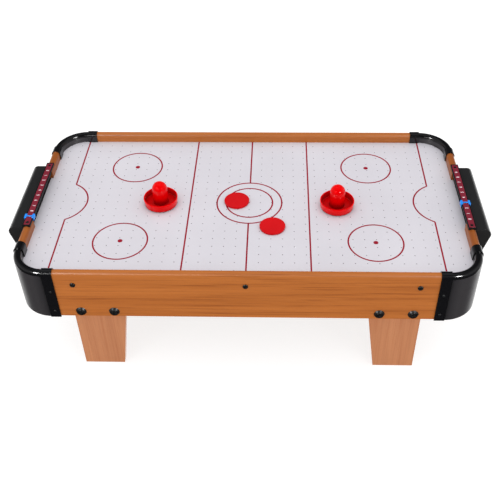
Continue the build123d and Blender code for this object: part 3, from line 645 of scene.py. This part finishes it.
def field_markings():
    bm, low = marking_outline()
    cutter = new_object("hole_cutter", mesh_from(holes_under(bm, low), "hole_cutter"))
    piece = new_object("field_markings", mesh_from(bm, "field_markings"))
    cut = piece.modifiers.new("holes", "BOOLEAN")
    cut.object = cutter
    cut.operation = "DIFFERENCE"
    cut.solver = "EXACT"
    cut.use_self = True
    baked(piece)
    bpy.data.objects.remove(cutter)
    piece.data.materials.clear()
    piece.data.materials.append(line_ink)
    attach(piece, "table")


field_markings()


# Numbers on the score strips


def score_numbers(side, word):
    """The digits 0 to 9 on one strip, their tops towards the middle of the table."""
    low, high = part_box(word + "score_strip")
    x = (low.x + high.x) / 2
    digits = []
    for number in range(DIGITS):
        curve = bpy.data.curves.new(f"{word}number_{number}", "FONT")
        curve.body = str(number)
        curve.size = NUMBER_SIZE
        curve.align_x = "CENTER"
        curve.align_y = "CENTER"
        curve.offset = NUMBER_WEIGHT
        curve.extrude = NUMBER_HEIGHT / 2
        digit = new_object(curve.name, curve)
        y = side * NUMBER_PITCH * (number - MIDDLE_NUMBER)
        turn = Matrix.Rotation(math.radians(90 * side), 4, "Z")
        squeeze = Matrix.Diagonal((NUMBER_NARROWING, 1, 1, 1))
        digit.matrix_world = Matrix.Translation((x, y, high.z + NUMBER_HEIGHT / 2)) @ turn @ squeeze
        digits.append(digit)
    bpy.context.view_layer.update()
    bm = bmesh.new()
    for digit in digits:
        graph = bpy.context.evaluated_depsgraph_get()
        mesh = bpy.data.meshes.new_from_object(digit.evaluated_get(graph))
        mesh.transform(digit.matrix_world)
        bm.from_mesh(mesh)
        bpy.data.objects.remove(digit)
    bmesh.ops.remove_doubles(bm, verts=bm.verts, dist=NUMBER_MERGE)
    piece = new_object(word + "score_numbers", mesh_from(bm, word + "score_numbers"))
    piece.data.materials.append(number_white)
    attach(piece, "table")


score_numbers(-1, "left_")
score_numbers(1, "right_")


# Floor, light and camera


def floor():
    bm = bmesh.new()
    bmesh.ops.create_grid(bm, x_segments=FLOOR_CELLS, y_segments=FLOOR_CELLS, size=FLOOR_HALF)
    piece = new_object("studio_floor", mesh_from(bm, "studio_floor"))
    piece.location.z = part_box("front_left_leg")[0].z
    pale = material("floor_paint", (0.38,) * 3, 0.8, Emission_Strength=FLOOR_GLOW)
    shader_of(pale).inputs["Emission Color"].default_value = (1, 1, 1, 1)
    patches = noise(pale, (0.7,) * 3, detail=2)
    paint(pale, ramp(pale, patches, [(0.3, (0.37,) * 3), (0.7, (0.39,) * 3)]))
    piece.data.materials.append(pale)
    piece.visible_glossy = False


def softbox(name, place, size, power, gloss_only=False):
    """A rectangular lamp aimed at the table; gloss_only keeps it out of the diffuse light."""
    lamp = bpy.data.lights.new(name, "AREA")
    lamp.shape = "RECTANGLE"
    lamp.size, lamp.size_y = size
    lamp.energy = power
    piece = new_object(name, lamp)
    piece.location = place
    direction = LIGHT_TARGET - Vector(place)
    piece.rotation_euler = direction.to_track_quat("-Z", "Y").to_euler()
    piece.visible_diffuse = not gloss_only
    return piece


def studio_world():
    """A white tent for diffuse light, and for gloss a dark one.

    Gloss finds it brighter at the sides above the horizon, and towards the back below it.
    """
    world = bpy.data.worlds.new("studio")
    bpy.context.scene.world = world
    world.use_nodes = True
    world.cycles.sampling_method = "NONE"
    sky = world.node_tree.nodes["Background"]
    sky.inputs["Strength"].default_value = 1.0
    rays = add_node(world, "ShaderNodeLightPath")
    coordinates = add_node(world, "ShaderNodeTexCoord")
    heading = axes_of(world, coordinates.outputs["Generated"])
    sideways = calculate(world, "ABSOLUTE", heading["X"])
    above = ramp(world, sideways, [(0.45, (0.05,) * 3), (0.95, (0.6,) * 3)])
    below = ramp(world, heading["Y"], [(0.10, (0.05,) * 3), (0.45, (1.5,) * 3)])
    upward = calculate(world, "GREATER_THAN", heading["Z"], 0.0)
    glossy = choose(world, upward, below, above)
    link(world, choose(world, rays.outputs["Is Glossy Ray"], TENT_WHITE, glossy), sky.inputs["Color"])


def camera():
    azimuth, elevation, roll = map(math.radians, (CAMERA_AZIMUTH, CAMERA_ELEVATION, CAMERA_ROLL))
    flat = math.cos(elevation)
    forward = Vector((math.sin(azimuth) * flat, math.cos(azimuth) * flat, -math.sin(elevation)))
    right = Vector((math.cos(azimuth), -math.sin(azimuth), 0))
    up = right.cross(forward)
    lens = bpy.data.cameras.new("camera")
    lens.lens = CAMERA_LENS
    lens.shift_x, lens.shift_y = CAMERA_SHIFT
    piece = new_object("camera", lens)
    across = math.cos(roll) * right + math.sin(roll) * up
    upward = math.cos(roll) * up - math.sin(roll) * right
    turn = Matrix((across, upward, -forward)).transposed()
    piece.matrix_world = Matrix.Translation(CAMERA_AIM - forward * CAMERA_DISTANCE) @ turn.to_4x4()
    bpy.context.scene.camera = piece


floor()
softbox("overhead", (0, 0.2, 2.2), (2.4, 1.6), 5)
softbox("front_strip", (-0.75, -1.99, 1.2), (1.1, 0.16), 6, gloss_only=True)
softbox("front_left", (-1.35, -1.5, 1.37), (0.45, 0.45), 60, gloss_only=True)
softbox("front_right", (1.35, -1.5, 1.37), (0.45, 0.45), 60, gloss_only=True)
studio_world()
camera()
bpy.context.scene.view_settings.view_transform = "Standard"
